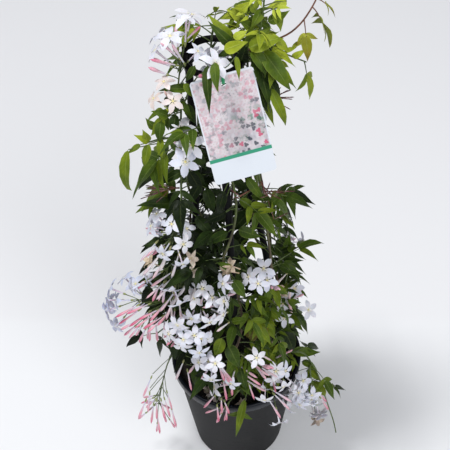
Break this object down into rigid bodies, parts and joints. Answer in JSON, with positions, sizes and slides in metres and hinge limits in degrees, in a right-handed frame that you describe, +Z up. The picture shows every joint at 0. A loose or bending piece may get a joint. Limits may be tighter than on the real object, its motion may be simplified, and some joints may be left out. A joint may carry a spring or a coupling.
{
  "type": "potted climbing jasmine",
  "caption": "Climbing jasmine with starry white flowers and pink buds in a round nursery pot, trained up a support of three stakes with a top ring and a hang label.",
  "frame": {"origin": "middle of the pot's flat base, on the surface it stands on", "axes": "+Z up; -Y towards the side with the label; +X to the right as seen from there"},
  "size_m": [0.2681, 0.2035, 0.6609],
  "materials": {
    "pot_plastic": "matte, charcoal black",
    "potting_mix": "rough, crumbly, dark brown",
    "support_plastic": "satin black",
    "label_card": "smooth coated card with a plain flower pattern",
    "tie_plastic": "smooth green",
    "leaf_green": "satin leaf, mid green",
    "leaf_bright": "satin leaf, bright yellow green",
    "leaf_dark": "satin leaf, dark green",
    "leaf_bronze": "young leaf, bronze red",
    "flower_white": "soft petal, white with a pink tube",
    "flower_faded": "faded petal, cream and tan",
    "bud_pink": "soft bud, pink",
    "bud_maroon": "young bud, dark maroon"
  },
  "bodies": {
    "root": {"pot": "pot_plastic", "soil": "potting_mix", "stake_front": "support_plastic", "stake_right": "support_plastic", "stake_left": "support_plastic", "top_ring": "support_plastic", "label": "label_card", "label_tie": "tie_plastic", "vine_front": "leaf_green", "vine_right": "leaf_green", "vine_left": "leaf_green", "vine_mid_left": "leaf_green", "vine_mid_right": "leaf_green", "vine_back": "leaf_green", "vine_back_left": "leaf_green", "vine_back_right": "leaf_green", "shoot_crown": "leaf_bright", "shoot_young": "leaf_bronze", "shoot_hanging": "leaf_bright", "shoot_low_left": "leaf_dark", "shoot_trailing": "leaf_green", "shoot_low_front": "leaf_bright", "spray_top_left": "flower_white", "spray_ring": "flower_white", "spray_left_high": "flower_white", "spray_left_mid": "flower_white", "spray_left_hanging": "flower_white", "spray_side_left": "flower_white", "spray_white_upper": "flower_white", "spray_white_left": "flower_white", "spray_white_lower": "flower_white", "spray_centre_right": "flower_white", "spray_right": "flower_white", "spray_front_star": "flower_white", "spray_front_right": "flower_white", "spray_trailing": "flower_white", "spray_front_small": "flower_white", "spray_back_high": "flower_white", "spray_back_mid": "flower_white", "spray_back_left": "flower_white", "spray_back_right": "flower_white", "spray_side_right": "flower_white", "spray_back_low": "flower_white", "spray_faded": "flower_faded", "spray_pink_left": "bud_pink", "spray_buds_left": "bud_pink", "spray_buds_front": "bud_pink", "spray_dark_left": "bud_maroon", "spray_dark_right": "bud_maroon", "spray_dark_top": "bud_maroon"}
  },
  "joints": []
}
